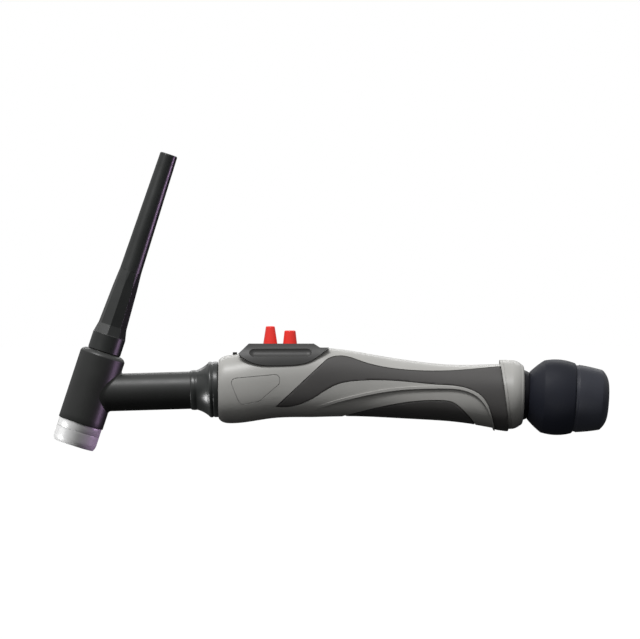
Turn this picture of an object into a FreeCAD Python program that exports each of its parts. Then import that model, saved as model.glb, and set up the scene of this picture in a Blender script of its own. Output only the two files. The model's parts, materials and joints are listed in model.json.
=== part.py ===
"""Two-button TIG welding torch: head with a long back cap, straight neck, hand grip with
soft inserts, plug-in switch module and a ball-jointed rubber boot.

Millimetres. +X runs from the torch head to the cable end, +Z is up (the button side),
and the origin is on the grip's centre line in the middle of the hand grip. The torch is
symmetric about the XZ plane except for the screws that close the grip from +Y.
"""
import FreeCAD, Part
import math
import os

os.makedirs("parts", exist_ok=True)

V = FreeCAD.Vector
FAR = 200.0              # longer than anything that is cut
HALF_DEPTH = 40.0        # cutting prisms run this far to each side of the XZ plane

# --- torch head: along its own axis, h = 0 where the neck's axis meets it ---
HEAD_CENTRE = V(-176.7, 0, -1.4)
HEAD_LEAN = 18.2         # degrees from vertical, towards the grip
HEAD_R = 14.5
HEAD_BOTTOM = -19.7
HEAD_TOP = 27.2
HEAD_SHOULDER = (3.4, 2.6)   # how far the rounded shoulder on top goes in and down
HEAD_FLOOR = 0.5         # rubber lip under the core: height and width
HEAD_LIP = 1.6
CORE_R = 8.5             # metal core inside the rubber moulding
CORE_TOP = 21.5
CORE_BOSS_R = 7.2        # where the neck tube is brazed in
CORE_BOSS_END = 12.0
COLLET_THREAD_R = 4.76   # 3/8 in thread for a stranger's collet body
COLLET_THREAD_DEPTH = 13.0
GAS_BORE_R = 3.4
CAP_THREAD_R = 5.0
CAP_THREAD_BOTTOM = 9.0
INSERT_BOTTOM = 15.0     # six turns of a 1 mm thread bring the cap off
SHIELD_R = 13.9          # white insulator, two rings
SHIELD_BOTTOM = -24.9
GASKET_BOTTOM = -34.3
GASKET_LIP_R = 12.7
GASKET_BORE_R = 8.0

# --- long back cap ---
CAP_BASE = 27.35
CAP_BASE_TOP = 38.4
CAP_BASE_R = 10.6
CAP_FLATS = 8
CAP_FLAT_TURN = -95.5    # degrees, where one edge between two flats points
CAP_RAMP_TOP = 44.7
CAP_FLAT_R = 8.55        # apothem of the flats at the foot and at the top
CAP_FLAT_TOP = 81.0
CAP_FLAT_TOP_R = 6.75
CAP_ROD_R = 6.95
CAP_TOP = 158.4
CAP_TOP_R = 5.6
CAP_BORE_R = 2.6
CAP_BORE_TOP = 152.0
INSERT_R = CAP_THREAD_R - 0.06
SEAL_INNER_R = 6.1
SEAL_R = 0.95

# --- neck ---
NECK_RISE = 1.7          # degrees, climbing towards the grip
NECK_TUBE_R = 4.75
NECK_TUBE_BORE_R = 3.0
NECK_TUBE_START = 5.5    # distances along the neck from the head's axis
NECK_TUBE_END = 128.0
NECK_SLEEVE_R = 11.8
NECK_SLEEVE_END = 86.5
COLLAR_START = 63.2      # front collar: low bead, cone, bead, rim
COLLAR_CONE = 67.0
COLLAR_CONE_END = 74.4
COLLAR_RIM = 77.4
COLLAR_END = 81.6
COLLAR_R = 17.5
COLLAR_WALL = 2.2
HOLDER_R = 9.0           # neck holder: a grooved block that the shells' web grips
HOLDER_FLANGE_R = 12.0
HOLDER_START = 87.0
HOLDER_END = 101.0
HOLDER_WEB = (92.0, 96.0)
HOLDER_FIT = 0.05
NUT_ACROSS_FLATS = 15.0
NUT_START = 121.0
NUT_END = 131.0
NIPPLE_R = 3.9
NIPPLE_BORE_R = 2.4
NIPPLE_END = 149.0

# --- grip: x, underside z, top z, half width of each cross-section ---
GRIP_FRONT = -95.8
GRIP_SECTIONS = [
    (GRIP_FRONT, -17.4, 19.4, 17.6),
    (-93.6, -19.4, 21.3, 18.7),
    (-88.0, -20.4, 22.7, 19.3),
    (-78.0, -19.6, 24.6, 19.4),
    (-62.0, -17.2, 26.4, 18.6),
    (-45.0, -16.5, 27.2, 17.7),
    (-28.0, -16.6, 27.1, 17.1),
    (-10.0, -17.0, 24.9, 16.8),
    (10.0, -17.8, 21.4, 16.9),
    (30.0, -18.9, 18.5, 17.3),
    (50.0, -20.2, 16.6, 18.1),
    (66.0, -22.3, 16.5, 19.0),
    (78.0, -24.5, 16.9, 19.9),
    (95.0, -25.0, 17.2, 20.6),
]
SQUARENESS = 2.35        # exponent of the cross-section; 2 is an ellipse
SECTION_POINTS = 20
REFIT_POINTS = 40        # points that an offset outline's curve is refitted through
SHELL_WALL = 3.0
PARTING_GAP = 0.05
GRIP_DEPTH = 1.5         # how far each soft insert and plate sits in the shell
BELLY_DEPTH = 2.2
PLATE_DEPTH = 0.8
FLUSH = 0.12             # inserts lie this far below the surface around them
SEAM = 0.18              # gap left around an insert
PLATE_SEAM = 0.3         # and around a blank plate
GLUE_LINE = 0.06         # and below it
LEDGE = 0.9              # the shell steps in by this much below the crease line
LEDGE_START = -48.0
LEDGE_FULL = -8.0
HIDDEN = 0.22            # ledge and lip start this far off the surface, so that they fade in
LIP = 0.6                # the raised lip along the crease
LIP_WIDTH = 1.7
WALL_OVERLAP = 0.3       # bosses and web run this far into the wall

# --- rear collar, ball joint and boot ---
REAR_FACE = V(95.8, 0, -2.5)
REAR_FALL = 1.5          # degrees, the rear axis falls towards the cable
RING_R = 21.7
RING_FACE_R = 17.2
RING_MOUTH_R = 16.2
RING_TOP_EDGE = V(81.0, 0, 18.9)
RING_LOW_EDGE = V(86.2, 0, -22.0)
RING_GROOVE = (1.5, 0.5, 0.25)   # behind the front face: where, how wide, how deep
BALL_SET_BACK = 5.0      # ball centre behind the collar's rear face
BALL_R = 16.6
BALL_FIT = 0.05
BALL_BORE_R = 10.5
SEAT_R = 18.0
SEAT_FRONT = -8.2        # along the rear axis, 0 at the collar's rear face
SEAT_BACK = -1.95
SPIGOT_R = 19.4
SPIGOT_BORE_R = 17.2
BOOT_FALL = 3.5          # degrees, how the boot hangs at rest
BOOT_START = 8.3         # along the boot's axis from the ball's centre
STEM_R = 12.6
STEM_END = 24.0
BOOT_GROOVE = 37.2
CLAMP_START = 38.6
CLAMP_CORNER = 54.0
BOOT_END = 58.6
COVER_SOCKET_R = 9.0
BOOT_CAVITY_R = 16.8
CLAMP_NECK_R = 19.2      # the boot's end, which the clamp holds
CLAMP_NECK_END = 48.6
STEM_RIB = 1.2         # rib on the stem that locks the boot

# --- switch module ---
MODULE_TOP = 29.8
MODULE_ROOF = 2.0
MODULE_WALL = 1.8
MODULE_OUTLINE = [(-83.2, 23.7), (-76.9, MODULE_TOP), (-36.0, MODULE_TOP), (-32.1, 27.3), (-26.6, 27.3)]
MODULE_UNDERSIDE = [(-31.5, 23.2), (-39.7, 18.2), (-51.0, 16.3), (-60.0, 16.1), (-68.7, 16.5), (-77.5, 19.3)]
DIMPLE_R = 5.0           # a shallow finger dish along each side, cut by a bar with round ends
DIMPLE_ENDS = (V(-73.2, 18.85, 26.2), V(-40.2, 17.6, 26.2))
BOARD = (-75.0, -38.0, 9.0, 17.2, 1.6)      # x from, x to, half width, underside, thickness
SWITCH = (4.9, 3.4)                         # side and height of each tactile switch
SWITCH_TIP = (1.6, 0.6)
BUTTONS = {                                 # x, top z, radius at the module's roof and at the top
    "front": (-63.4, 40.8, 4.4, 2.7),
    "rear": (-51.0, 38.1, 4.4, 3.4),
}
BUTTON_FIT = 0.15
BUTTON_TRAVEL = 1.5
FLANGE_R = 5.6
FLANGE = 1.0
STEM_BUTTON_R = 1.7
SPRING_WIRE = 0.28
SPRING_R = 3.9
SPRING_TURNS = 4.5

# --- screws that close the grip, from +Y: x, z ---
SCREWS = [(-66.8, -11.6), (-9.0, 13.4), (66.0, 8.6), (36.0, -10.0)]
SCREW_R = 1.5
SCREW_HEAD = (2.8, 1.8)
SCREW_SEAT_Y = 9.2
SCREW_TIP_Y = -9.0
BOSS_R = 4.1
POCKET_R = 3.1


# ---------------------------------------------------------------- helpers

def along(origin, direction):
    """Placement that takes the local Z axis to a direction in the XZ plane."""
    return FreeCAD.Placement(origin, FreeCAD.Rotation(V(0, 0, 1), direction))


def in_plane(angle_from_x):
    """Unit vector in the XZ plane, degrees from +X towards +Z."""
    turn = math.radians(angle_from_x)
    return V(math.cos(turn), 0, math.sin(turn))


HEAD = along(HEAD_CENTRE, in_plane(90 - HEAD_LEAN))
NECK = along(HEAD_CENTRE, in_plane(NECK_RISE))
REAR = along(REAR_FACE, in_plane(-REAR_FALL))
BALL_CENTRE = REAR.multVec(V(0, 0, -BALL_SET_BACK))
REAR_BALL = along(BALL_CENTRE, in_plane(-REAR_FALL))
BOOT = along(BALL_CENTRE, in_plane(-BOOT_FALL))


def wire_through(start, steps, to_point):
    """Closed wire. A step is a point, or a pair (point on the arc, end of the arc)."""
    edges = []
    last = start
    for step in list(steps) + [start]:
        if isinstance(step[0], tuple):
            middle, end = step
            edges.append(Part.Arc(to_point(last), to_point(middle), to_point(end)).toShape())
        else:
            end = step
            edges.append(Part.LineSegment(to_point(last), to_point(end)).toShape())
        last = end
    return Part.Wire(edges)


def turned(placement, start, *steps):
    """Solid of revolution about the placement's axis, from an outline of (radius, height)."""
    wire = wire_through(start, steps, lambda p: V(p[0], 0, p[1]))
    solid = Part.Face(wire).revolve(V(0, 0, 0), V(0, 0, 1), 360)
    solid.Placement = placement
    return solid


def rod(placement, radius, low, high):
    """Cylinder along the placement's axis."""
    solid = Part.makeCylinder(radius, high - low, V(0, 0, low))
    solid.Placement = placement
    return solid


def block(low, high):
    """Box from its lowest to its highest corner."""
    size = high - low
    return Part.makeBox(size.x, size.y, size.z, low)


def prism(wire, depth=HALF_DEPTH):
    """Closed XZ wire pushed out to both sides of the XZ plane."""
    face = Part.Face(wire)
    face.translate(V(0, -depth, 0))
    return face.extrude(V(0, 2 * depth, 0))


def edge_along(points):
    """Line for two points, smooth curve for more, in the XZ plane."""
    places = [V(x, 0, z) for x, z in points]
    if len(places) == 2:
        return Part.LineSegment(*places).toShape()
    curve = Part.BSplineCurve()
    curve.interpolate(places)
    return curve.toShape()


def outline(*runs):
    """Closed wire made of runs; each run starts where the one before ended."""
    return Part.Wire([edge_along(run) for run in runs])


def chained(*runs):
    """Prepends each run with the end of the one before, and closes the last one."""
    joined = []
    last = runs[-1][-1]
    for run in runs:
        joined.append([last] + list(run))
        last = run[-1]
    return joined


def shifted(points, distance):
    """Points moved sideways, to the left of the way they run."""
    moved = []
    for i, (x, z) in enumerate(points):
        x0, z0 = points[max(i - 1, 0)]
        x1, z1 = points[min(i + 1, len(points) - 1)]
        length = math.hypot(x1 - x0, z1 - z0)
        moved.append((x - distance * (z1 - z0) / length, z + distance * (x1 - x0) / length))
    return moved


def grown(wire, distance):
    """A closed wire offset outwards, or inwards where the distance is negative."""
    edges = []
    for edge in wire.makeOffset2D(distance, 0, False, False, True).OrderedEdges:
        if edge.Curve.TypeId != "Part::GeomLine":
            curve = Part.BSplineCurve()
            curve.interpolate(edge.discretize(REFIT_POINTS))
            edge = curve.toShape()
        edges.append(edge)
    return Part.Wire(edges)


# ---------------------------------------------------------------- grip body

def section(x, low, high, half_width):
    """One closed cross-section, a rounded superellipse in the plane x."""
    middle = (low + high) / 2
    half_height = (high - low) / 2
    places = []
    for i in range(SECTION_POINTS):
        turn = 2 * math.pi * i / SECTION_POINTS
        across = math.copysign(abs(math.cos(turn)) ** (2 / SQUARENESS), math.cos(turn))
        up = math.copysign(abs(math.sin(turn)) ** (2 / SQUARENESS), math.sin(turn))
        places.append(V(x, half_width * across, middle + half_height * up))
    curve = Part.BSplineCurve()
    curve.interpolate(Points=places, PeriodicFlag=True)
    return Part.Wire(curve.toShape())


def grip_body(inset=0.0, inset_at=None, first=0):
    """The grip's full form, drawn in by a constant inset or by inset_at(x)."""
    wires = []
    for x, low, high, half_width in GRIP_SECTIONS[first:]:
        amount = inset_at(x) if inset_at else inset
        wires.append(section(x, low + amount, high - amount, half_width - amount))
    return Part.makeLoft(wires, True, False)


def ledge_ramp(x):
    """0 ahead of the crease, 1 where the ledge has its full depth."""
    share = min(max((x - LEDGE_START) / (LEDGE_FULL - LEDGE_START), 0.0), 1.0)
    return share * share * (3 - 2 * share)


def ledge_inset(x):
    return (LEDGE + HIDDEN) * ledge_ramp(x) - HIDDEN


def lip_inset(x):
    return HIDDEN - (LIP + HIDDEN) * ledge_ramp(x)


# Outlines on the grip's side, (x, z)
CREASE = [(-36.5, -12.6), (-25.5, -8.4), (-9.0, -3.9), (12.0, 0.1), (29.0, 1.5), (43.0, 1.8),
          (56.0, 1.0), (65.3, -2.6), (71.3, -9.0), (75.0, -17.0), (77.6, -27.0)]

SIDE_GRIP = chained(
    [(-28.2, 20.0)],
    [(-20.8, 22.4), (-13.5, 21.6), (-6.3, 19.1), (9.8, 15.1), (29.0, 13.2), (54.8, 13.4),
     (73.1, 15.0), (92.0, 16.0)],
    [(92.0, -29.0)],
    [(79.3, -29.0)],
    [(75.0, -14.9), (69.3, -3.4), (59.9, 1.9), (41.6, 4.2), (18.3, 6.3), (-9.0, 6.5), (-20.8, 4.4),
     (-39.7, -6.3), (-47.0, -9.0), (-60.0, -9.6)],
)

BELLY = chained(
    [(-6.3, -12.6), (13.2, -8.1), (30.9, -5.7), (43.0, -5.4), (50.5, -6.4), (57.0, -11.0), (65.5, -20.7),
     (71.0, -29.0)],
    [(-17.8, -29.0)],
    [(-17.8, -15.8)],
)

BADGE_CORNERS = [(-88.6, 8.1), (-57.2, 11.0), (-57.2, 4.8), (-70.0, -6.3), (-82.0, -8.8), (-86.6, 2.0)]
BADGE_ROUNDING = 3.0


def ring_plane_cut(clearance=0.0):
    """Everything behind the rear collar's slanted front face."""
    run = RING_TOP_EDGE - RING_LOW_EDGE
    run.normalize()
    forward = V(-run.z, 0, run.x)
    shift = forward * clearance
    top = RING_TOP_EDGE + run * 60 + shift
    low = RING_LOW_EDGE - run * 60 + shift
    corners = [top, low, low + V(FAR, 0, 0), top + V(FAR, 0, 0), top]
    return prism(Part.makePolygon(corners), FAR)


def rounded_polygon(corners, radius):
    """Closed wire with each corner rounded."""
    places = [V(x, 0, z) for x, z in corners]
    steps = []
    for i, corner in enumerate(places):
        before = (places[i - 1] - corner).normalize()
        after = (places[(i + 1) % len(places)] - corner).normalize()
        half = before.getAngle(after) / 2
        reach = radius / math.tan(half)
        centre = corner + (before + after).normalize() * (radius / math.sin(half))
        middle = centre + (corner - centre).normalize() * radius
        steps.append((corner + before * reach, middle, corner + after * reach))
    edges = []
    for i, (start, middle, end) in enumerate(steps):
        edges.append(Part.Arc(start, middle, end).toShape())
        edges.append(Part.LineSegment(end, steps[(i + 1) % len(steps)][0]).toShape())
    return Part.Wire(edges)


def module_wire():
    """Side outline of the switch module: straight top, boat-shaped underside."""
    top = [Part.LineSegment(V(a[0], 0, a[1]), V(b[0], 0, b[1])).toShape()
           for a, b in zip(MODULE_OUTLINE, MODULE_OUTLINE[1:])]
    under = edge_along([MODULE_OUTLINE[-1]] + MODULE_UNDERSIDE + [MODULE_OUTLINE[0]])
    return Part.Wire(top + [under])


def bolt_rod(x, z, radius, y_from, y_to):
    """Cylinder along Y."""
    return Part.makeCylinder(radius, y_to - y_from, V(x, y_from, z), V(0, 1, 0))


def make_grip():
    """Both shells with their soft inserts and blank plates."""
    behind_collar = ring_plane_cut()
    outer = grip_body()
    ledge_form = grip_body(inset_at=ledge_inset)
    lip_form = grip_body(inset_at=lip_inset)
    cavity = grip_body(SHELL_WALL, first=1)

    lip_back = shifted(CREASE, LIP_WIDTH)
    lip_region = prism(outline(CREASE, [CREASE[-1], lip_back[-1]], lip_back[::-1], [lip_back[0], CREASE[0]]))
    corners = [(CREASE[-1][0], -HALF_DEPTH), (CREASE[0][0] - 12, -HALF_DEPTH)]
    below_crease = prism(outline(CREASE, [CREASE[-1], corners[0]], corners, [corners[1], CREASE[0]]))
    skin = outer.cut(below_crease.cut(ledge_form))
    skin = skin.fuse(lip_region.common(lip_form)).cut(behind_collar)

    spigot = rod(REAR, SPIGOT_R, -22, SEAT_FRONT - 0.1)
    skin = skin.fuse(spigot.common(behind_collar))
    shell = skin.cut(cavity.cut(behind_collar))
    shell = shell.cut(rod(REAR, SPIGOT_BORE_R, -26, 5))
    shell = shell.cut(rod(NECK, NECK_SLEEVE_R, COLLAR_END - 5, COLLAR_END + 5))

    side_wire = outline(*SIDE_GRIP)
    belly_wire = outline(*BELLY)
    badge_wire = rounded_polygon(BADGE_CORNERS, BADGE_ROUNDING)
    pads = {}
    for name, wire, surface, depth, seam in (
        ("side", side_wire, grip_body(FLUSH), GRIP_DEPTH, SEAM),
        ("belly", belly_wire, grip_body(inset_at=lambda x: ledge_inset(x) + FLUSH), BELLY_DEPTH, SEAM),
        ("badge", badge_wire, grip_body(FLUSH), PLATE_DEPTH, PLATE_SEAM),
    ):
        shell = shell.cut(prism(wire).cut(grip_body(depth)).cut(behind_collar))
        pads[name] = prism(grown(wire, -seam)).common(surface.cut(grip_body(depth - GLUE_LINE)))
    side = pads["side"].cut(ring_plane_cut(SEAM))

    # bosses for the screws, and the web that locks the neck holder
    bosses = [bolt_rod(x, z, BOSS_R, -HALF_DEPTH, HALF_DEPTH) for x, z in SCREWS]
    web = rod(NECK, FAR, HOLDER_WEB[0], HOLDER_WEB[1])
    fill = bosses[0].fuse(bosses[1:] + [web])
    fill = fill.common(grip_body(SHELL_WALL - WALL_OVERLAP, first=1))
    fill = fill.cut(rod(NECK, HOLDER_R + HOLDER_FIT, HOLDER_WEB[0] - 1, HOLDER_WEB[1] + 1))
    shell = shell.fuse(fill)
    shell = shell.cut(prism(grown(module_wire(), SEAM)))
    shell = shell.cut(module_bay())
    for x, z in SCREWS:
        shell = shell.cut(bolt_rod(x, z, POCKET_R, SCREW_SEAT_Y, HALF_DEPTH))
        shell = shell.cut(bolt_rod(x, z, SCREW_R + 0.2, 0, SCREW_SEAT_Y))
        shell = shell.cut(bolt_rod(x, z, SCREW_R, SCREW_TIP_Y, 0))
    shell = shell.cut(clip_body(0.1))

    left_half = block(V(-FAR, -FAR, -FAR), V(FAR, -PARTING_GAP, FAR))
    right_half = block(V(-FAR, PARTING_GAP, -FAR), V(FAR, FAR, FAR))
    return {
        "handle_shell_left": shell.common(left_half),
        "handle_shell_right": shell.common(right_half),
        "side_grip_left": side.common(left_half),
        "side_grip_right": side.common(right_half),
        "belly_grip": pads["belly"],
        "blank_badge_left": pads["badge"].common(left_half),
        "blank_badge_right": pads["badge"].common(right_half),
    }


# ---------------------------------------------------------------- head and back cap

def make_head():
    core_bottom = HEAD_BOTTOM + HEAD_FLOOR
    collet_top = core_bottom + COLLET_THREAD_DEPTH
    core = turned(HEAD, (COLLET_THREAD_R, core_bottom), (CORE_R, core_bottom), (CORE_R, CORE_TOP),
                  (CAP_THREAD_R, CORE_TOP), (CAP_THREAD_R, CAP_THREAD_BOTTOM),
                  (GAS_BORE_R, CAP_THREAD_BOTTOM - (CAP_THREAD_R - GAS_BORE_R)),
                  (GAS_BORE_R, collet_top + COLLET_THREAD_R - GAS_BORE_R), (COLLET_THREAD_R, collet_top))
    boss = rod(NECK, CORE_BOSS_R, 0, CORE_BOSS_END).cut(rod(HEAD, CORE_R - 0.5, -FAR, FAR))
    core = core.fuse(boss).cut(rod(NECK, NECK_TUBE_R, NECK_TUBE_START, FAR))
    core = core.cut(rod(NECK, NECK_TUBE_BORE_R, 0, NECK_TUBE_START + 1))

    inwards, down = HEAD_SHOULDER
    middle_of_arc = (HEAD_R - 0.37 * inwards, HEAD_TOP - 0.38 * down)
    form = turned(HEAD, (0, HEAD_BOTTOM), (HEAD_R, HEAD_BOTTOM), (HEAD_R, HEAD_TOP - down),
                  (middle_of_arc, (HEAD_R - inwards, HEAD_TOP)), (0, HEAD_TOP))
    moulding = form.cut(rod(HEAD, CORE_R, core_bottom, CORE_TOP))
    moulding = moulding.cut(rod(HEAD, CORE_R - HEAD_LIP, HEAD_BOTTOM - 1, HEAD_BOTTOM + 1))
    moulding = moulding.cut(rod(HEAD, SEAL_INNER_R + 2 * SEAL_R + 0.35, CORE_TOP - 0.1, HEAD_TOP + 1))
    moulding = moulding.cut(rod(NECK, CORE_BOSS_R, 0, CORE_BOSS_END))
    moulding = moulding.cut(rod(NECK, NECK_TUBE_R, 0, FAR))

    shield = turned(HEAD, (CORE_R - 1.4, HEAD_BOTTOM), (CORE_R - 1.4, SHIELD_BOTTOM),
                    (SHIELD_R, SHIELD_BOTTOM), (SHIELD_R, HEAD_BOTTOM))
    gasket = turned(HEAD, (GASKET_BORE_R, SHIELD_BOTTOM), (SHIELD_R, SHIELD_BOTTOM),
                    (SHIELD_R, GASKET_BOTTOM + 4.6),
                    ((SHIELD_R - 0.25, GASKET_BOTTOM + 2.2), (GASKET_LIP_R, GASKET_BOTTOM)),
                    (GASKET_BORE_R + 1.0, GASKET_BOTTOM), (GASKET_BORE_R, GASKET_BOTTOM + 1.0))
    return {
        "torch_head_core": core,
        "head_moulding": moulding,
        "heat_shield": shield,
        "cup_gasket": gasket,
    }


def flat_ring(apothem, height):
    """Polygon of the cap's flats, one edge between flats at CAP_FLAT_TURN."""
    reach = apothem / math.cos(math.pi / CAP_FLATS)
    places = []
    for i in range(CAP_FLATS + 1):
        turn = math.radians(CAP_FLAT_TURN + 360 * i / CAP_FLATS)
        places.append(V(reach * math.cos(turn), reach * math.sin(turn), height))
    return Part.makePolygon(places)


def make_back_cap():
    inscribed = CAP_BASE_R * math.cos(math.pi / CAP_FLATS) - 0.02
    flats = Part.makeLoft([flat_ring(inscribed, CAP_BASE_TOP), flat_ring(CAP_FLAT_R, CAP_RAMP_TOP),
                           flat_ring(CAP_FLAT_TOP_R, CAP_FLAT_TOP)], True, True)
    flats.Placement = HEAD
    lower = turned(HEAD, (0, CAP_BASE), (CAP_BASE_R - 0.4, CAP_BASE), (CAP_BASE_R, CAP_BASE + 0.4),
                   (CAP_BASE_R, CAP_BASE_TOP), (CAP_ROD_R, CAP_FLAT_TOP), (0, CAP_FLAT_TOP))
    foot = turned(HEAD, (0, CAP_BASE), (CAP_BASE_R - 0.4, CAP_BASE), (CAP_BASE_R, CAP_BASE + 0.4),
                  (CAP_BASE_R, CAP_BASE_TOP), (0, CAP_BASE_TOP))
    upper = turned(HEAD, (0, CAP_FLAT_TOP - 0.1), (CAP_ROD_R, CAP_FLAT_TOP - 0.1), (CAP_ROD_R, CAP_FLAT_TOP),
                   (CAP_TOP_R, CAP_TOP - 0.5), (CAP_TOP_R - 0.5, CAP_TOP), (0, CAP_TOP))
    cap = foot.fuse([flats.common(lower), upper])
    cap = cap.cut(rod(HEAD, INSERT_R, CAP_BASE - 1, CAP_BASE + 8))
    cap = cap.cut(turned(HEAD, (0, CAP_BASE), (CAP_BORE_R, CAP_BASE), (CAP_BORE_R, CAP_BORE_TOP),
                         (0, CAP_BORE_TOP + 1.5)))
    cap = cap.removeSplitter()

    shoulder_r = SEAL_INNER_R - 0.06
    insert = turned(HEAD, (CAP_BORE_R, INSERT_BOTTOM), (INSERT_R - 0.8, INSERT_BOTTOM),
                    (INSERT_R, INSERT_BOTTOM + 0.8), (INSERT_R, CORE_TOP + 0.6), (shoulder_r, CORE_TOP + 0.6),
                    (shoulder_r, CAP_BASE), (INSERT_R, CAP_BASE), (INSERT_R, CAP_BASE + 8),
                    (CAP_BORE_R, CAP_BASE + 8))
    seal = Part.makeTorus(SEAL_INNER_R + SEAL_R, SEAL_R, V(0, 0, HEAD_TOP - 1.2))
    seal.Placement = HEAD
    return {"back_cap": cap, "back_cap_insert": insert, "back_cap_seal": seal}


# ---------------------------------------------------------------- neck

def make_neck():
    tube = rod(NECK, NECK_TUBE_R, NECK_TUBE_START, NECK_TUBE_END)
    tube = tube.cut(rod(NECK, NECK_TUBE_BORE_R, 0, FAR)).cut(rod(HEAD, 5.4, -FAR, FAR))
    sleeve = rod(NECK, NECK_SLEEVE_R, 0, NECK_SLEEVE_END).cut(rod(NECK, NECK_TUBE_R, 0, FAR))
    sleeve = sleeve.cut(rod(HEAD, HEAD_R, -FAR, FAR))
    inner = COLLAR_R - COLLAR_WALL
    collar = turned(NECK, (NECK_SLEEVE_R, COLLAR_START), (NECK_SLEEVE_R + 0.35, COLLAR_START),
                    ((NECK_SLEEVE_R + 0.8, COLLAR_START + 1.9), (NECK_SLEEVE_R + 0.6, COLLAR_CONE)),
                    ((NECK_SLEEVE_R + 2.3, COLLAR_CONE + 3.9), (COLLAR_R - 0.9, COLLAR_CONE_END)),
                    ((COLLAR_R + 0.1, COLLAR_CONE_END + 1.5), (COLLAR_R - 0.6, COLLAR_RIM)),
                    (COLLAR_R, COLLAR_RIM + 0.4), (COLLAR_R, COLLAR_END), (inner, COLLAR_END),
                    (inner, COLLAR_RIM - 1.0), (NECK_SLEEVE_R, COLLAR_CONE + 2.5))
    collar = collar.common(block(V(-FAR, -FAR, -FAR), V(GRIP_FRONT, FAR, FAR)))
    holder = turned(NECK, (NECK_TUBE_R, HOLDER_START), (HOLDER_FLANGE_R, HOLDER_START),
                    (HOLDER_FLANGE_R, HOLDER_WEB[0] - 0.1), (HOLDER_R, HOLDER_WEB[0] - 0.1),
                    (HOLDER_R, HOLDER_WEB[1] + 0.1), (HOLDER_FLANGE_R, HOLDER_WEB[1] + 0.1),
                    (HOLDER_FLANGE_R, HOLDER_END), (NECK_TUBE_R, HOLDER_END))
    return {"neck_tube": tube, "neck_sleeve": sleeve, "front_collar": collar, "neck_holder": holder}


def hexagon(placement, across_flats, low, high):
    """Hexagonal bar along the placement's axis."""
    reach = across_flats / math.sqrt(3)
    places = [V(reach * math.cos(math.radians(60 * i)), reach * math.sin(math.radians(60 * i)), low)
              for i in range(7)]
    bar = Part.Face(Part.makePolygon(places)).extrude(V(0, 0, high - low))
    bar.Placement = placement
    return bar


def make_hose_inlet():
    """Nut on the neck tube and the nipple that the power hose pushes onto."""
    nut = hexagon(NECK, NUT_ACROSS_FLATS, NUT_START, NUT_END)
    nut = nut.cut(rod(NECK, NECK_TUBE_R, NUT_START - 1, NECK_TUBE_END))
    nut = nut.cut(rod(NECK, NIPPLE_R - 0.6, NECK_TUBE_END - 1, NUT_END + 1))
    nipple = turned(NECK, (NIPPLE_BORE_R, NECK_TUBE_END), (NIPPLE_R - 0.6, NECK_TUBE_END),
                    (NIPPLE_R - 0.6, NUT_END), (NIPPLE_R, NUT_END), (NIPPLE_R, NIPPLE_END - 1.0),
                    (NIPPLE_R - 0.8, NIPPLE_END), (NIPPLE_BORE_R, NIPPLE_END))
    return {"hose_nut": nut, "hose_nipple": nipple}


# ---------------------------------------------------------------- switch module

def module_form(inset=0.0):
    """The module's cross-section runs on from the grip's sides up to a crowned roof."""
    wires = []
    for x, low, high, half_width in GRIP_SECTIONS:
        if -90 < x < 0:
            wires.append(section(x, low + inset, MODULE_TOP + 3.0 - inset, half_width - 0.2 - inset))
    return Part.makeLoft(wires, True, False)


def module_bay():
    """The space inside the grip that the module's board and walls hang into."""
    x_from, x_to, half_width, under, thick = BOARD
    return block(V(x_from - 1.0, -half_width - 3.2, under - 2.6), V(x_to + 1.0, half_width + 3.2, FAR))


def capsule(start, end, radius):
    """Bar from start to end with round ends."""
    bar = Part.makeCylinder(radius, (end - start).Length, start, end - start)
    return bar.fuse([Part.makeSphere(radius, start), Part.makeSphere(radius, end)])


def spring(x, low, high):
    """Open coil spring standing on z = low."""
    height = high - low - 2 * SPRING_WIRE
    path = Part.makeHelix(height / SPRING_TURNS, height, SPRING_R)
    ring = Part.Wire(Part.makeCircle(SPRING_WIRE, V(SPRING_R, 0, 0), V(0, 1, 0)))
    coil = Part.Wire(path).makePipeShell([ring], True, True)
    coil.translate(V(x, 0, low + SPRING_WIRE))
    return coil


def clip_body(clearance):
    """Spring clip in front of the module, its thumb nub above the shell."""
    nub = block(V(-87.0 - clearance, -3.0 - clearance, 18.0 - clearance),
                V(-84.4 + clearance, 3.0 + clearance, 24.4 + clearance))
    foot = block(V(-87.0 - clearance, -3.0 - clearance, 18.0 - clearance),
                 V(-80.5 + clearance, 3.0 + clearance, 19.4 + clearance))
    return nub.fuse(foot)


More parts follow.
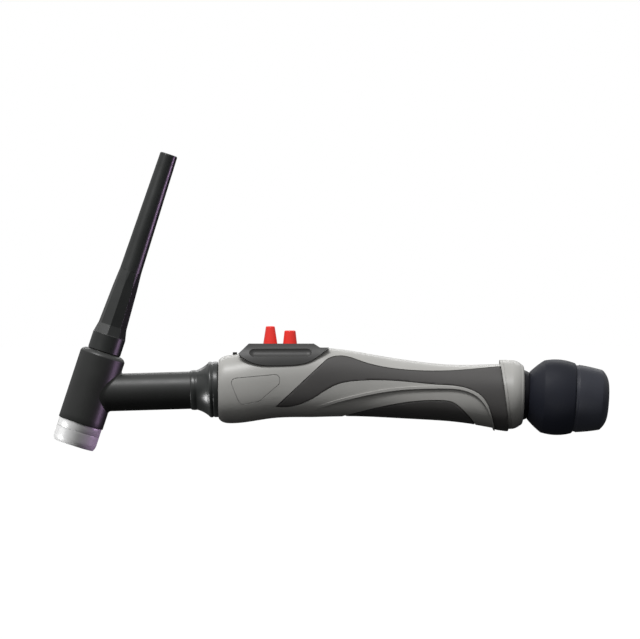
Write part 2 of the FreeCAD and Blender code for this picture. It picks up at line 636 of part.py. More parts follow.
def make_module():
    x_from, x_to, half_width, under, thick = BOARD
    top_of_board = under + thick
    roof = MODULE_TOP - MODULE_ROOF
    body = prism(module_wire()).common(module_form())
    hollow = block(V(x_from - 0.5, -HALF_DEPTH, 0), V(x_to + 0.5, HALF_DEPTH, roof))
    body = body.cut(hollow.common(module_form(MODULE_WALL)))
    for x in (x_from + 1.9, x_to - 1.9):
        body = body.fuse(Part.makeCylinder(1.6, roof - top_of_board + 0.2, V(x, 0, top_of_board)))
    for side in (-1, 1):
        ends = [V(end.x, side * end.y, end.z) for end in DIMPLE_ENDS]
        body = body.cut(capsule(*ends, DIMPLE_R))
    for x, top, base_r, top_r in BUTTONS.values():
        body = body.cut(Part.makeCylinder(base_r + BUTTON_FIT, 6, V(x, 0, roof - 1)))
    parts = {
        "module_housing": body,
        "circuit_board": block(V(x_from, -half_width, under), V(x_to, half_width, top_of_board)),
        "board_connector": block(V(x_to - 8.0, -4.0, under - 2.4), V(x_to - 2.0, 4.0, under)),
        "module_clip": clip_body(0.0),
    }
    side, height = SWITCH
    tip_r, tip_height = SWITCH_TIP
    for name, (x, top, base_r, top_r) in BUTTONS.items():
        top_of_case = top_of_board + height
        switch_top = top_of_case + tip_height
        switch = block(V(x - side / 2, -side / 2, top_of_board), V(x + side / 2, side / 2, top_of_case))
        switch = switch.fuse(Part.makeCylinder(tip_r, tip_height, V(x, 0, top_of_case)))
        flange_top = roof - 0.15
        stem_low = switch_top + BUTTON_TRAVEL + 0.15
        button = turned(FreeCAD.Placement(V(x, 0, 0), FreeCAD.Rotation()),
                        (0, stem_low), (STEM_BUTTON_R, stem_low), (STEM_BUTTON_R, flange_top - FLANGE),
                        (FLANGE_R, flange_top - FLANGE), (FLANGE_R, flange_top), (base_r, flange_top),
                        (base_r, MODULE_TOP + 0.3), (top_r + 0.15, top - 0.7),
                        ((top_r - 0.1, top - 0.15), (top_r - 0.8, top)), (0, top))
        parts["button_" + name] = button
        parts["switch_" + name] = switch
        parts["button_spring_" + name] = spring(x, top_of_board + 0.05, flange_top - FLANGE - 0.05)
    return parts


# ---------------------------------------------------------------- screws

def make_screws():
    head_r, head_height = SCREW_HEAD
    screws = []
    for x, z in SCREWS:
        head = bolt_rod(x, z, head_r, SCREW_SEAT_Y, SCREW_SEAT_Y + head_height)
        for turn in (0, 90):
            slot = Part.makeBox(3.2, 1.2, 0.7, V(-1.6, SCREW_SEAT_Y + head_height - 1.2, -0.35))
            slot.rotate(V(0, 0, 0), V(0, 1, 0), turn)
            slot.translate(V(x, 0, z))
            head = head.cut(slot)
        screws.append(head.fuse(bolt_rod(x, z, SCREW_R, SCREW_TIP_Y, SCREW_SEAT_Y)))
    return {"shell_screws": Part.makeCompound(screws)}


# ---------------------------------------------------------------- rear collar, ball joint, boot

def make_rear():
    bore = SPIGOT_R + 0.02
    seat_bore = SEAT_R + BALL_FIT
    collar = turned(REAR, (bore, -22), (RING_R, -22), (RING_R, -8.0), ((21.0, -4.3), (19.4, -1.8)),
                    ((18.6, -0.6), (RING_FACE_R, 0)), (RING_MOUTH_R, 0), (RING_MOUTH_R + 0.5, -1.85),
                    (seat_bore, -1.85), (seat_bore, SEAT_FRONT - 0.05), (bore, SEAT_FRONT - 0.05))
    collar = collar.common(ring_plane_cut())
    back, width, depth = RING_GROOVE
    groove = ring_plane_cut(-back).cut(ring_plane_cut(-back - width))
    collar = collar.cut(groove.cut(rod(REAR, RING_R - depth, -FAR, FAR)))

    ball = Part.makeSphere(BALL_R)
    ball.Placement = REAR_BALL
    seat = rod(REAR, SEAT_R, SEAT_FRONT, SEAT_BACK)
    hollow = Part.makeSphere(BALL_R + BALL_FIT)
    hollow.Placement = REAR_BALL
    seat = seat.cut(hollow)

    ball_local = Part.makeSphere(BALL_R).common(Part.makeCylinder(BALL_R + 1, 11.0 + BALL_R, V(0, 0, -11.0)))
    ball_local.Placement = BOOT
    stem = turned(BOOT, (BALL_BORE_R, 9.0), (STEM_R, 9.0), (STEM_R, STEM_END - 3.2),
                  (STEM_R + STEM_RIB, STEM_END - 2.4), (STEM_R, STEM_END), (BALL_BORE_R, STEM_END))
    ball = ball_local.fuse(stem).cut(rod(BOOT, BALL_BORE_R, -FAR, FAR)).removeSplitter()

    boot = turned(BOOT, (STEM_R, BOOT_START + 2.6), (14.6, BOOT_START), (15.0, BOOT_START),
                  ((19.15, 12.6), (22.8, 17.3)), (23.1, 18.8), ((23.85, 26.0), (22.1, BOOT_GROOVE - 0.7)),
                  (21.2, BOOT_GROOVE), (CLAMP_NECK_R, BOOT_GROOVE), (CLAMP_NECK_R, CLAMP_NECK_END),
                  (BOOT_CAVITY_R, CLAMP_NECK_END), (BOOT_CAVITY_R, STEM_END + 4.0),
                  (STEM_R + STEM_RIB, STEM_END), (STEM_R + STEM_RIB, STEM_END - 2.4),
                  (STEM_R, STEM_END - 3.2))
    clamp = turned(BOOT, (CLAMP_NECK_R, BOOT_GROOVE), (20.9, BOOT_GROOVE), (20.9, CLAMP_START),
                   (21.3, CLAMP_START + 0.5), ((20.4, 46.2), (18.9, CLAMP_CORNER)),
                   ((15.0, 57.1), (COVER_SOCKET_R + 0.6, BOOT_END)), (COVER_SOCKET_R, BOOT_END - 0.6),
                   (COVER_SOCKET_R, CLAMP_NECK_END), (CLAMP_NECK_R, CLAMP_NECK_END))
    return {"rear_collar": collar, "ball_seat": seat, "ball_joint": ball, "rubber_boot": boot,
            "cover_clamp": clamp}


nodes = {}
for build in (make_head, make_back_cap, make_neck, make_hose_inlet, make_grip, make_module,
              make_screws, make_rear):
    nodes.update(build())

for name, shape in nodes.items():
    shape.exportStep("parts/" + name + ".step")
    print(f"{name:22s} solids {len(shape.Solids)} valid {shape.isValid()} "
          f"volume {shape.Volume:9.1f}")
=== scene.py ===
"""Looks of a TIG welding torch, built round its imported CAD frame. Lengths are in metres."""

import json
import math

import bmesh
import bpy
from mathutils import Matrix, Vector
from mathutils.bvhtree import BVHTree

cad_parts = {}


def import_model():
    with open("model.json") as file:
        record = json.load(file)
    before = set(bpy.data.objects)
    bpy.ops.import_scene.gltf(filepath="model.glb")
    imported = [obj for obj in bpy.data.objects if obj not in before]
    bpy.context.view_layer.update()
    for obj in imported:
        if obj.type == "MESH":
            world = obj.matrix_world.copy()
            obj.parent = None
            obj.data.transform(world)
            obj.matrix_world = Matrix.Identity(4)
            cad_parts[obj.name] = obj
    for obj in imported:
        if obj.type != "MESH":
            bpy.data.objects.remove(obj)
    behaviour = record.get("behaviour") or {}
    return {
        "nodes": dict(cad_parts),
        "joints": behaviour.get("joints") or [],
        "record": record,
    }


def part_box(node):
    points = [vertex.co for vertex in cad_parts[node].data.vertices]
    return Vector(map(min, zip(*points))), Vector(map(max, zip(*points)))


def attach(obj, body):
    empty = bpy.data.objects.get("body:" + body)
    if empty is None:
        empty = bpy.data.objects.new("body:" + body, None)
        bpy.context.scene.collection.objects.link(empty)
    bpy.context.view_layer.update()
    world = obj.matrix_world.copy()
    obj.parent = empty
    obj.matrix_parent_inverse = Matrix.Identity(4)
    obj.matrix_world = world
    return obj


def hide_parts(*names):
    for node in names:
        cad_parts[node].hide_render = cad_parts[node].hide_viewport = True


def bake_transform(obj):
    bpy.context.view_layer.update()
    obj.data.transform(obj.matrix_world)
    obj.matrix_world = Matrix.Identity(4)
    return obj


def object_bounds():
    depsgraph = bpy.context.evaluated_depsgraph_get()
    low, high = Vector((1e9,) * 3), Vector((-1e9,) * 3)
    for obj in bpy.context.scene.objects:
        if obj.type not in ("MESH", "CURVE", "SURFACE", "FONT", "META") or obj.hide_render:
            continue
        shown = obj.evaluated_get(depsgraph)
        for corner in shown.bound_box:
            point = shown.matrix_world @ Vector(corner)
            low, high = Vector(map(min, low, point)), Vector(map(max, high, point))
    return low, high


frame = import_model()
nodes = frame["nodes"]
joints = {joint["name"]: joint for joint in frame["joints"]}
mounts = {mount["name"]: mount for mount in frame["record"]["mounts"]}
cad_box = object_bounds()

MM = 0.001
ACROSS = Vector((0, 1, 0))

# Places and axes of the torch, each from a joint or a mount of the record
HEAD_CENTRE = Vector(joints["cap_turn"]["pos_m"])
HEAD_AXIS = Vector(joints["cap_turn"]["axis"])
NECK_AXIS = Vector(mounts["power_hose_nipple"]["axis"])
BALL_CENTRE = Vector(joints["boot_tilt"]["pos_m"])
BOOT_AXIS = Vector(mounts["cable_cover_socket"]["axis"])
PRESS_AXIS = Vector((0, 0, 1))  # the buttons and their springs stand upright

# Finishes
NOISE_SPREAD = (0.3, 0.7)  # the noise values that a finish's colours run between
ROUGHNESS_SHIFT = 0.12  # how far the patches change the roughness, as a share of it
WEAR_AT_EDGE = 0.55  # most that an edge takes of its worn colour
WEAR_TURN = (0.86, 0.985)  # cosines between eased and true normals: full wear, no wear

# Turned pieces
STEP = 0.3 * MM  # spacing of the points read from a CAD node's half section
FLAT_WITHIN = 0.004 * MM  # a point this close to its neighbours' line is left out
LONG_RUN = 12 * STEP  # a straight run gets another point after this length
END_INSET = 1e-4  # share of a node's length by which its end readings are moved in
ON_AXIS = 1e-6  # a smaller radius is a single point on the axis
NO_LENGTH = 1e-9  # divided by in place of nothing, where two points are one
SIDES = 144  # round each turned piece
FAR = 0.2  # further out than any node's radius
SHARP_ANGLE = math.radians(40)

# Soft pieces
SOFT_VOXEL = 0.5 * MM
MELT_PASSES = 5
FLARE = 1.3 * MM  # radius of the sleeve's fillet against the head
FLARE_STEPS = 8
BURIED = 0.8 * MM  # how far the fillet runs on inside the head


# ---------------------------------------------------------------- materials


def add(tree, kind, **values):
    """A node with its inputs and settings given by name."""
    node = tree.nodes.new(kind)
    for name, value in values.items():
        socket = node.inputs.get(name.replace("_", " "))
        if socket is not None:
            socket.default_value = value
        else:
            setattr(node, name, value)
    return node


def spread(tree, source, low, high, start, end):
    """source mapped from start..end to low..high."""
    node = add(tree, "ShaderNodeMapRange", From_Min=start, From_Max=end, To_Min=low, To_Max=high)
    tree.links.new(source, node.inputs["Value"])
    return node.outputs["Result"]


def mixed(tree, factor, first, second):
    """The colour between first and second. Each is a colour or an output."""
    node = add(tree, "ShaderNodeMix", data_type="RGBA")
    tree.links.new(factor, node.inputs["Factor"])
    for socket, value in (("A", first), ("B", second)):
        socket = [i for i in node.inputs if i.name == socket and i.type == "RGBA"][0]
        if isinstance(value, bpy.types.NodeSocket):
            tree.links.new(value, socket)
        else:
            socket.default_value = (*value, 1)
    return [o for o in node.outputs if o.type == "RGBA"][0]


def rubbed(tree, eased, share, tint, worn):
    """The tint with its edges worn: where the eased normal turns away from the true one, in patches."""
    plain = add(tree, "ShaderNodeNewGeometry").outputs["Normal"]
    turn = add(tree, "ShaderNodeVectorMath", operation="DOT_PRODUCT")
    tree.links.new(eased, turn.inputs[0])
    tree.links.new(plain, turn.inputs[1])
    rim = spread(tree, turn.outputs["Value"], WEAR_AT_EDGE, 0, *WEAR_TURN)
    rub = add(tree, "ShaderNodeMath", operation="MULTIPLY")
    tree.links.new(rim, rub.inputs[0])
    tree.links.new(share, rub.inputs[1])
    return mixed(tree, rub.outputs["Value"], tint, worn)


def material(name, colour, roughness, metallic=0.0, specular=0.5, shade=0.1, mottle=45,
             grain=1100, grain_depth=0.03 * MM, edge=0.35 * MM, worn=None, sheen=0.0, painted_glow=0.0):
    """A moulded, turned or drawn finish: mottled colour, fine grain, eased edges and wear along them.

    shade is how far the patches change the colour, mottle and grain are the scales of the patches and
    the grain, edge is the radius of the eased edges, and painted_glow is painted light: the light that the
    finish gives off of its own, though it is no lamp."""
    made = bpy.data.materials.new(name)
    made.use_nodes = True
    tree = made.node_tree
    shader = tree.nodes["Principled BSDF"]
    shader.inputs["Metallic"].default_value = metallic
    shader.inputs["Specular IOR Level"].default_value = specular
    shader.inputs["Sheen Weight"].default_value = sheen
    place = add(tree, "ShaderNodeTexCoord").outputs["Object"]
    patches = add(tree, "ShaderNodeTexNoise", Scale=mottle, Detail=5.0, Roughness=0.6)
    tree.links.new(place, patches.inputs["Vector"])
    dark = [c * (1 - shade) for c in colour]
    light = [min(1.0, c * (1 + shade)) for c in colour]
    share = spread(tree, patches.outputs["Fac"], 0, 1, *NOISE_SPREAD)
    tint = mixed(tree, share, dark, light)
    eased = add(tree, "ShaderNodeBevel", samples=4, Radius=edge).outputs["Normal"]
    if worn:
        tint = rubbed(tree, eased, share, tint, worn)
    tree.links.new(tint, shader.inputs["Base Color"])
    # Painted light: the finish gives off painted_glow in its own colour, as if it were lit.
    shader.inputs["Emission Color"].default_value = (*colour, 1)
    shader.inputs["Emission Strength"].default_value = painted_glow
    fine = add(tree, "ShaderNodeTexNoise", Scale=grain, Detail=3.0, Roughness=0.55)
    tree.links.new(place, fine.inputs["Vector"])
    smooth = roughness * (1 - ROUGHNESS_SHIFT)
    rough = min(1.0, roughness * (1 + ROUGHNESS_SHIFT))
    patchy = spread(tree, patches.outputs["Fac"], smooth, rough, *NOISE_SPREAD)
    tree.links.new(patchy, shader.inputs["Roughness"])
    bump = add(tree, "ShaderNodeBump", Strength=0.5, Distance=grain_depth)
    tree.links.new(fine.outputs["Fac"], bump.inputs["Height"])
    tree.links.new(eased, bump.inputs["Normal"])
    tree.links.new(bump.outputs["Normal"], shader.inputs["Normal"])
    return made


def finishes():
    """One finish for each material slot of the record, and navy_clamp_painted_light, a lighter copy of
    navy_rubber that paints light on the boot's rear ring.
    """
    scuffed = (0.16, 0.16, 0.155)
    return {
        "black_rubber": material(
            "black_rubber_moulded", (0.03, 0.031, 0.03), 0.42, worn=scuffed
        ),
        "black_plastic": material(
            "black_phenolic_polished", (0.026, 0.028, 0.027), 0.3, worn=scuffed
        ),
        # Painted shade: the white rings get a mid grey, darker than white PTFE, so that they come out
        # shaded under the lamps.
        "white_ptfe": material(
            "white_ptfe_turned_painted_shade", (0.33, 0.33, 0.33), 0.38, shade=0.03,
            grain=700, worn=(0.42, 0.41, 0.4)
        ),
        "brass": material(
            "brass_turned", (0.62, 0.42, 0.16), 0.28, metallic=1.0, shade=0.12,
            worn=(0.8, 0.62, 0.3)
        ),
        "copper_tube": material(
            "copper_drawn", (0.68, 0.3, 0.17), 0.34, metallic=1.0, shade=0.16, mottle=120
        ),
        # The light worn colour at the edges is partly wear and partly a painted highlight: it draws the
        # bright line along the lip of the grip's crease.
        "grey_shell": material(
            "grey_nylon_moulded", (0.44, 0.435, 0.415), 0.39, shade=0.03,
            grain=1400, grain_depth=0.02 * MM, edge=0.3 * MM, worn=(0.72, 0.715, 0.7)
        ),
        "dark_insert": material(
            "dark_soft_touch", (0.082, 0.079, 0.077), 0.62, specular=0.35, shade=0.06,
            grain=1800, grain_depth=0.05 * MM, sheen=0.08, worn=(0.12, 0.118, 0.115)
        ),
        "module_grey": material(
            "module_abs_grained", (0.036, 0.0355, 0.0345), 0.45, shade=0.05,
            worn=(0.2, 0.2, 0.195)
        ),
        # Painted light: the buttons give off a little light of their own, which keeps their red bright and
        # flat.
        "red_button": material(
            "red_button_glossy_painted_glow", (0.92, 0.04, 0.03), 0.3, shade=0.03,
            worn=(0.9, 0.2, 0.16), painted_glow=0.12
        ),
        "navy_rubber": material(
            "navy_rubber_moulded", (0.009, 0.0105, 0.018), 0.6, specular=0.25,
            grain=900, grain_depth=0.05 * MM, sheen=0.01, worn=(0.06, 0.065, 0.085)
        ),
        # Painted light: the same navy rubber as the boot, made lighter and given more sheen, for the rear
        # ring.
        "navy_clamp_painted_light": material(
            "navy_clamp_painted_light_moulded", (0.024, 0.026, 0.036), 0.5, specular=0.3,
            grain=900, grain_depth=0.04 * MM, sheen=0.04, worn=(0.09, 0.095, 0.12)
        ),
        "joint_plastic": material(
            "acetal_natural_black", (0.01, 0.01, 0.014), 0.5, specular=0.2, worn=(0.05, 0.05, 0.06)
        ),
        "spring_steel": material(
            "spring_wire", (0.5, 0.5, 0.52), 0.25, metallic=1.0, mottle=600
        ),
        "screw_steel": material(
            "screw_zinc", (0.42, 0.42, 0.43), 0.32, metallic=1.0, shade=0.15,
            mottle=300, worn=(0.7, 0.7, 0.7)
        ),
        "board_green": material(
            "board_solder_mask", (0.02, 0.13, 0.05), 0.35, shade=0.2,
            mottle=180, worn=(0.3, 0.32, 0.2)
        ),
        "connector_white": material(
            "connector_nylon", (0.7, 0.68, 0.62), 0.45, shade=0.05, worn=(0.8, 0.79, 0.75)
        ),
        "seal_rubber": material(
            "seal_nitrile", (0.02, 0.02, 0.02), 0.55, shade=0.15,
            mottle=200, worn=(0.07, 0.07, 0.07)
        ),
    }


# ---------------------------------------------------------------- mesh tools


def placed(name, data):
    """A new object in the scene."""
    made = bpy.data.objects.new(name, data)
    bpy.context.scene.collection.objects.link(made)
    return made


def mesh_of(made, name):
    """The mesh of a bmesh, which is freed."""
    mesh = bpy.data.meshes.new(name)
    made.to_mesh(mesh)
    made.free()
    return mesh


def spokes(along):
    """Unit vectors all round an axis and square to it. The first points across the torch."""
    out = ACROSS.cross(along).normalized()
    turns = [2 * math.pi * k / SIDES for k in range(SIDES)]
    return [ACROSS * math.cos(a) + out * math.sin(a) for a in turns]


def reader(node):
    """A ray caster on a CAD node's own mesh."""
    mesh = nodes[node].data
    mesh.calc_loop_triangles()
    points = [v.co for v in mesh.vertices]
    return BVHTree.FromPolygons(points, [tuple(t.vertices) for t in mesh.loop_triangles])


def span(node, origin, along):
    """How far a CAD node reaches along an axis: its first and last distance from origin."""
    places = [(v.co - origin).dot(along) for v in nodes[node].data.vertices]
    return min(places), max(places)


def half_section(node, origin, along, side):
    """The half section of a turned CAD node, read on one side of its axis.

    Its points are (distance along the axis, radius), and go right round the wall."""
    tree = reader(node)
    first, last = span(node, origin, along)
    count = max(4, round((last - first) / STEP))
    outside, inside = [], []
    for i in range(count + 1):
        place = first + (last - first) * min(max(i / count, END_INSET), 1 - END_INSET)
        foot = origin + along * place
        hit = tree.ray_cast(foot + side * FAR, -side)
        if hit[0] is None:
            continue
        outside.append((place, (hit[0] - foot).dot(side)))
        bore = tree.ray_cast(foot, side)
        inside.append((place, 0.0 if bore[1].dot(side) > 0 else (bore[0] - foot).dot(side)))
    return outside + inside[::-1]


def evenly(loop, step):
    """A closed loop of flat points, divided again at an even spacing."""
    out = []
    for a, b in zip(loop, loop[1:] + loop[:1]):
        parts = max(1, math.ceil(math.dist(a, b) / step))
        for k in range(parts):
            out.append((a[0] + (b[0] - a[0]) * k / parts, a[1] + (b[1] - a[1]) * k / parts))
    return out


def eased(loop, passes):
    """The loop with its corners rounded off, its straight runs kept and spare points left out."""
    points = evenly(loop, STEP)
    for _ in range(passes):
        points = [
            (
                (a[0] + 2 * b[0] + c[0]) / 4,
                max(0.0, (a[1] + 2 * b[1] + c[1]) / 4),
            )
            for a, b, c in zip(points[-1:] + points[:-1], points, points[1:] + points[:1])
        ]
    kept = [points[0]]
    for i in range(1, len(points) - 1):
        a, b, c = kept[-1], points[i], points[i + 1]
        run = max(math.dist(a, c), NO_LENGTH)
        off = abs((c[0] - a[0]) * (b[1] - a[1]) - (c[1] - a[1]) * (b[0] - a[0])) / run
        if off > FLAT_WITHIN or math.dist(a, b) > LONG_RUN:
            kept.append(b)
    return kept + [points[-1]]


def new_piece(name, mesh, slot, body, replaced):
    """A smooth piece in its slot's finish, which stands for a CAD node and rides on body, if given."""
    piece = placed(name, mesh)
    for polygon in mesh.polygons:
        polygon.use_smooth = True
    mesh.set_sharp_from_angle(angle=SHARP_ANGLE)
    mesh.materials.clear()
    mesh.materials.append(FINISH[slot])
    if body:
        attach(piece, body)
    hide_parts(replaced)
    return piece


def revolved(loop, origin, along):
    """A closed surface: the loop of (distance, radius) points turned round an axis."""
    made = bmesh.new()
    around = spokes(along)
    rings = []
    for place, radius in loop:
        foot = origin + along * place
        if radius < ON_AXIS:
            rings.append([made.verts.new(foot)])
            continue
        rings.append([made.verts.new(foot + spoke * radius) for spoke in around])
    for a, b in zip(rings, rings[1:] + rings[:1]):
        for k in range(SIDES):
            corners = [a[k % len(a)], a[(k + 1) % len(a)], b[(k + 1) % len(b)], b[k % len(b)]]
            unlike = list(dict.fromkeys(corners))
            if len(unlike) > 2:
                made.faces.new(unlike)
    bmesh.ops.recalc_face_normals(made, faces=made.faces)
    return mesh_of(made, "turned")


def turned(node, name, slot, body, origin, along, side=ACROSS, passes=3):
    """A turned part read from its CAD node, with eased edges all round."""
    loop = eased(half_section(node, origin, along, side), passes)
    return new_piece(name, revolved(loop, origin, along), slot, body, node)


def soft_copy(node, name, slot, body):
    """A moulded soft part: its CAD node remeshed, with its edges melted round."""
    piece = placed(name, nodes[node].data.copy())
    grid = piece.modifiers.new("grid", "REMESH")
    grid.mode = "VOXEL"
    grid.voxel_size = SOFT_VOXEL
    grid.use_smooth_shade = True
    melt = piece.modifiers.new("melt", "SMOOTH")
    melt.factor = 0.5
    melt.iterations = MELT_PASSES
    bpy.context.view_layer.update()
    found = piece.evaluated_get(bpy.context.evaluated_depsgraph_get())
    result = bpy.data.meshes.new_from_object(found)
    bpy.data.objects.remove(piece)
    return new_piece(name, result, slot, body, node)


# ---------------------------------------------------------------- pieces


def head_reach(distance, spoke, head_radius):
    """Where a line along the neck, this far off its axis, leaves the head's cylinder."""
    start = spoke * distance
    near = start - HEAD_AXIS * start.dot(HEAD_AXIS)
    run = NECK_AXIS - HEAD_AXIS * NECK_AXIS.dot(HEAD_AXIS)
    half = near.dot(run)
    inside = half**2 - run.dot(run) * (near.dot(near) - head_radius**2)
    return (-half + math.sqrt(inside)) / run.dot(run)


def fillet_rings(bore, radius):
    """The sleeve's front end: (distance off the neck's axis, gap to the head's surface) of each ring."""
    arc = [math.radians(90 * k / FLARE_STEPS) for k in range(FLARE_STEPS + 1)]
    rings = [(bore, -BURIED), (radius + FLARE, -BURIED)]
    for a in arc:
        rings.append((radius + FLARE * (1 - math.sin(a)), FLARE * (1 - math.cos(a))))
    return rings


def neck_sleeve():
    """The rubber sleeve on the neck, with a fillet where it runs into the head."""
    tree = reader("neck_sleeve")
    first, last = span("neck_sleeve", HEAD_CENTRE, NECK_AXIS)
    middle = HEAD_CENTRE + NECK_AXIS * (first + last) / 2
    radius = FAR - tree.ray_cast(middle + ACROSS * FAR, -ACROSS)[3]
    bore = tree.ray_cast(middle, ACROSS)[3]
    head = reader("head_moulding")
    head_radius = FAR - head.ray_cast(HEAD_CENTRE + ACROSS * FAR, -ACROSS)[3]
    made = bmesh.new()
    around = spokes(NECK_AXIS)
    loops = []
    for distance, gap in fillet_rings(bore, radius):
        loop = []
        for s in around:
            along = head_reach(distance, s, head_radius) + gap
            loop.append(made.verts.new(HEAD_CENTRE + s * distance + NECK_AXIS * along))
        loops.append(loop)
    for distance in (radius, bore):
        loops.append([made.verts.new(HEAD_CENTRE + s * distance + NECK_AXIS * last) for s in around])
    for a, b in zip(loops, loops[1:] + loops[:1]):
        for k in range(SIDES):
            made.faces.new((a[k], a[(k + 1) % SIDES], b[(k + 1) % SIDES], b[k]))
    bmesh.ops.recalc_face_normals(made, faces=made.faces)
    return new_piece("neck_sleeve_flared", mesh_of(made, "sleeve"), "black_rubber", "torch", "neck_sleeve")


def head_pieces():
    """The head, its white rings, the cap's O-ring and the front collar."""
    away = -ACROSS.cross(HEAD_AXIS).normalized()  # the head's section is read away from the neck
    for node, name, slot, side, passes in (
        ("head_moulding", "head_moulding_soft", "black_rubber", away, 1),
        ("heat_shield", "heat_shield_turned", "white_ptfe", ACROSS, 1),
        ("cup_gasket", "cup_gasket_turned", "white_ptfe", ACROSS, 2),
    ):
        turned(node, name, slot, "torch", HEAD_CENTRE, HEAD_AXIS, side, passes)
    turned("back_cap_seal", "back_cap_seal_ring", "seal_rubber", "cap_seal", HEAD_CENTRE, HEAD_AXIS)
    turned("front_collar", "front_collar_turned", "black_plastic", "torch", HEAD_CENTRE, NECK_AXIS)


def grip_pieces():
    """The three soft inserts of the grip."""
    for node in ("side_grip_left", "side_grip_right", "belly_grip"):
        soft_copy(node, f"{node}_soft", "dark_insert", "torch")


def boot_pieces():
    """The boot and its rear ring, which share a slot. The ring takes a lighter copy of the boot's finish,
    with more sheen: painted light.
    """
    turned("rubber_boot", "rubber_boot_moulded", "navy_rubber", "boot", BALL_CENTRE, BOOT_AXIS, passes=2)
    clamp = turned(
        "cover_clamp", "cover_clamp_moulded", "navy_rubber", "boot", BALL_CENTRE, BOOT_AXIS, passes=2
    )
    # painted light: the ring takes the lighter copy of the boot's finish
    clamp.data.materials[0] = FINISH["navy_clamp_painted_light"]


def button_pieces():
    """The two red buttons, each turned about its own upright axis."""
    for end in ("front", "rear"):
        node = f"button_{end}"
        low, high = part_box(node)
        foot = Vector(((low.x + high.x) / 2, 0, 0))
        turned(node, f"{node}_moulded", "red_button", f"{end}_button", foot, PRESS_AXIS, passes=2)


def spring_pieces():
    """Each return spring, copied from its CAD node in the spring finish. Its foot stays in the grip."""
    for end in ("front", "rear"):
        node = f"button_spring_{end}"
        coil = new_piece(f"{node}_coil", nodes[node].data.copy(), "spring_steel", None, node)
        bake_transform(coil)


# ---------------------------------------------------------------- studio

VIEW_CENTRE = Vector((-0.0321, 0, 0.045))  # what the camera and the lamps face
VIEW_DISTANCE = 2.24
LENS = 200  # focal length in millimetres
SENSOR = 36  # its width in millimetres
VIEW_END = 50
WHITE = (1, 1, 1)
VIOLET = (0.75, 0.5, 0.85)

# The studio's light: its strength from below and above, and what is added from the left.
# Each fade is the range of a direction's height or sideways part in which the light changes.
LIGHT_BELOW = 0.03
LIGHT_ABOVE = 0.82
HEIGHT_FADE = (-0.05, 0.55)
LIGHT_LEFT = 0.11
LEFT_FADE = (-0.95, -0.1)

FLOOR_DROP = 0.09  # below the CAD's lowest point
FLOOR_SIZE = 20
FLOOR_SQUARES = 8
FLOOR_GREY = 0.05
FLOOR_GLOW = 0.98

# Pieces that some lamps reach alone
PTFE_PARTS = ("heat_shield_turned", "cup_gasket_turned")
HEAD_PARTS = ("head_moulding_soft", "back_cap")
BOOT_PARTS = ("rubber_boot_moulded", "cover_clamp_moulded")


def camera():
    """A long lens, level with the torch and square to its side."""
    data = bpy.data.cameras.new("camera")
    data.lens = LENS
    data.sensor_width = SENSOR
    data.clip_end = VIEW_END
    made = placed("camera", data)
    made.location = VIEW_CENTRE - ACROSS * VIEW_DISTANCE
    made.rotation_euler = (math.radians(90), 0, 0)
    bpy.context.scene.camera = made


def softbox(name, direction, distance, size, power, colour=WHITE, lights=None, gloss_only=False):
    """A rectangular lamp that faces the torch from a direction.

    lights names the only pieces that it reaches, if given. A gloss_only lamp shows only as a shine and
    casts no shadow."""
    data = bpy.data.lights.new(name, "AREA")
    data.shape = "RECTANGLE"
    data.size, data.size_y = size
    data.energy = power
    data.color = colour
    made = placed(name, data)
    towards = Vector(direction).normalized()
    made.location = VIEW_CENTRE + towards * distance
    made.rotation_euler = (-towards).to_track_quat("-Z", "Y").to_euler()
    made.visible_camera = False
    made.visible_diffuse = not gloss_only
    data.use_shadow = not gloss_only
    if lights:
        group = bpy.data.collections.new(f"{name}_reach")
        for piece in lights:
            group.objects.link(bpy.data.objects[piece])
        made.light_linking.receiver_collection = group


def world():
    """A white studio: bright above, dark below, a little light from the left, and white to the camera."""
    made = bpy.data.worlds.new("studio")
    bpy.context.scene.world = made
    made.use_nodes = True
    tree = made.node_tree
    tree.nodes.clear()
    place = add(tree, "ShaderNodeTexCoord").outputs["Generated"]
    parts = add(tree, "ShaderNodeSeparateXYZ")
    tree.links.new(place, parts.inputs["Vector"])
    above = spread(tree, parts.outputs["Z"], LIGHT_BELOW, LIGHT_ABOVE, *HEIGHT_FADE)
    left = spread(tree, parts.outputs["X"], LIGHT_LEFT, 0.0, *LEFT_FADE)
    total = add(tree, "ShaderNodeMath", operation="ADD")
    tree.links.new(above, total.inputs[0])
    tree.links.new(left, total.inputs[1])
    lit = add(tree, "ShaderNodeBackground")
    tree.links.new(total.outputs["Value"], lit.inputs["Strength"])
    seen = add(tree, "ShaderNodeBackground", Strength=1.0)
    seen.inputs["Color"].default_value = (1, 1, 1, 1)
    ray = add(tree, "ShaderNodeLightPath")
    choose = add(tree, "ShaderNodeMixShader")
    tree.links.new(ray.outputs["Is Camera Ray"], choose.inputs["Fac"])
    tree.links.new(lit.outputs["Background"], choose.inputs[1])
    tree.links.new(seen.outputs["Background"], choose.inputs[2])
    out = add(tree, "ShaderNodeOutputWorld")
    tree.links.new(choose.outputs["Shader"], out.inputs["Surface"])


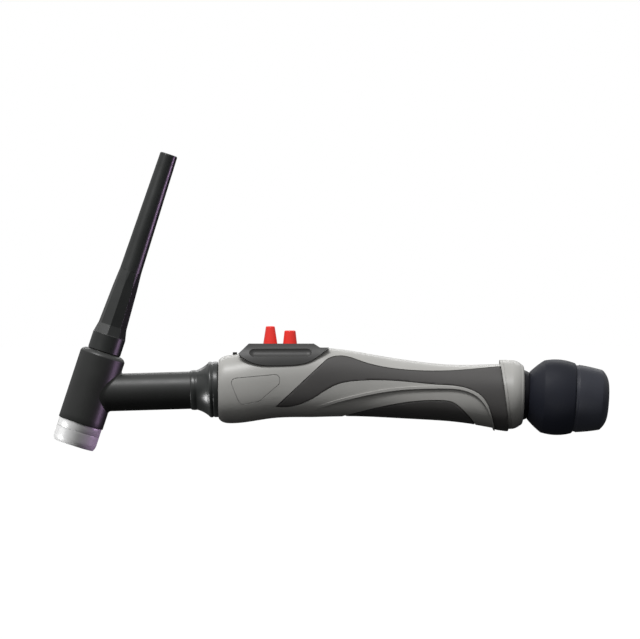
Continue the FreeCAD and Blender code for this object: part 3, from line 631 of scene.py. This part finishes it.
def floor():
    """A plain pale floor, which sends no light back up."""
    low, _ = cad_box
    made = bmesh.new()
    bmesh.ops.create_grid(made, x_segments=FLOOR_SQUARES, y_segments=FLOOR_SQUARES, size=FLOOR_SIZE)
    plane = placed("floor", mesh_of(made, "floor"))
    plane.location.z = low.z - FLOOR_DROP
    pale = bpy.data.materials.new("floor_pale")
    pale.use_nodes = True
    tree = pale.node_tree
    shader = tree.nodes["Principled BSDF"]
    shader.inputs["Base Color"].default_value = (FLOOR_GREY, FLOOR_GREY, FLOOR_GREY, 1)
    shader.inputs["Specular IOR Level"].default_value = 0.0
    shader.inputs["Roughness"].default_value = 1.0
    shader.inputs["Emission Color"].default_value = (1, 1, 1, 1)
    shader.inputs["Emission Strength"].default_value = FLOOR_GLOW
    plane.data.materials.append(pale)
    plane.visible_diffuse = False
    plane.visible_glossy = False
    plane.visible_shadow = False


def lamps():
    """The key and the rim light everything. The others stage one highlight each, on the pieces named."""
    softbox("key", (-0.25, -0.52, 0.85), distance=1.7, size=(0.7, 0.35), power=19)
    softbox("top_rim", (0.0, 0.85, 0.5), distance=1.7, size=(1.6, 0.3), power=5)
    softbox(
        "ptfe_glow", (-0.98, -0.1, -0.1), distance=1.2, size=(0.4, 0.4), power=22, lights=PTFE_PARTS
    )
    softbox(
        "ptfe_edge", (0.97, 0.12, -0.08), distance=1.4, size=(0.3, 0.5), power=24,
        colour=VIOLET, lights=PTFE_PARTS
    )
    softbox(
        "violet_edge", (1.0, -0.03, -0.3), distance=1.4, size=(0.2, 0.7), power=10,
        colour=VIOLET, lights=HEAD_PARTS, gloss_only=True
    )
    softbox(
        "cap_glint", (-0.5, -0.58, 0.65), distance=1.4, size=(0.15, 0.15), power=16,
        lights=("back_cap",), gloss_only=True
    )
    softbox(
        "ring_glint", (0.1, -0.72, 0.69), distance=1.4, size=(0.3, 0.3), power=4,
        lights=("rear_collar",), gloss_only=True
    )
    softbox(
        "collar_glow", (-0.9, -0.1, -0.42), distance=1.2, size=(0.3, 0.3), power=8,
        lights=("front_collar_turned",)
    )
    softbox(
        "boot_front", (0.1, -0.95, -0.3), distance=1.4, size=(0.3, 0.3), power=3.5, lights=BOOT_PARTS
    )


# ---------------------------------------------------------------- scene

camera()
FINISH = finishes()
for node in nodes.values():
    node.material_slots[0].material = FINISH[node.material_slots[0].material.name]

head_pieces()
neck_sleeve()
grip_pieces()
boot_pieces()
button_pieces()
spring_pieces()

world()
floor()
lamps()
bpy.context.scene.view_settings.view_transform = "Standard"
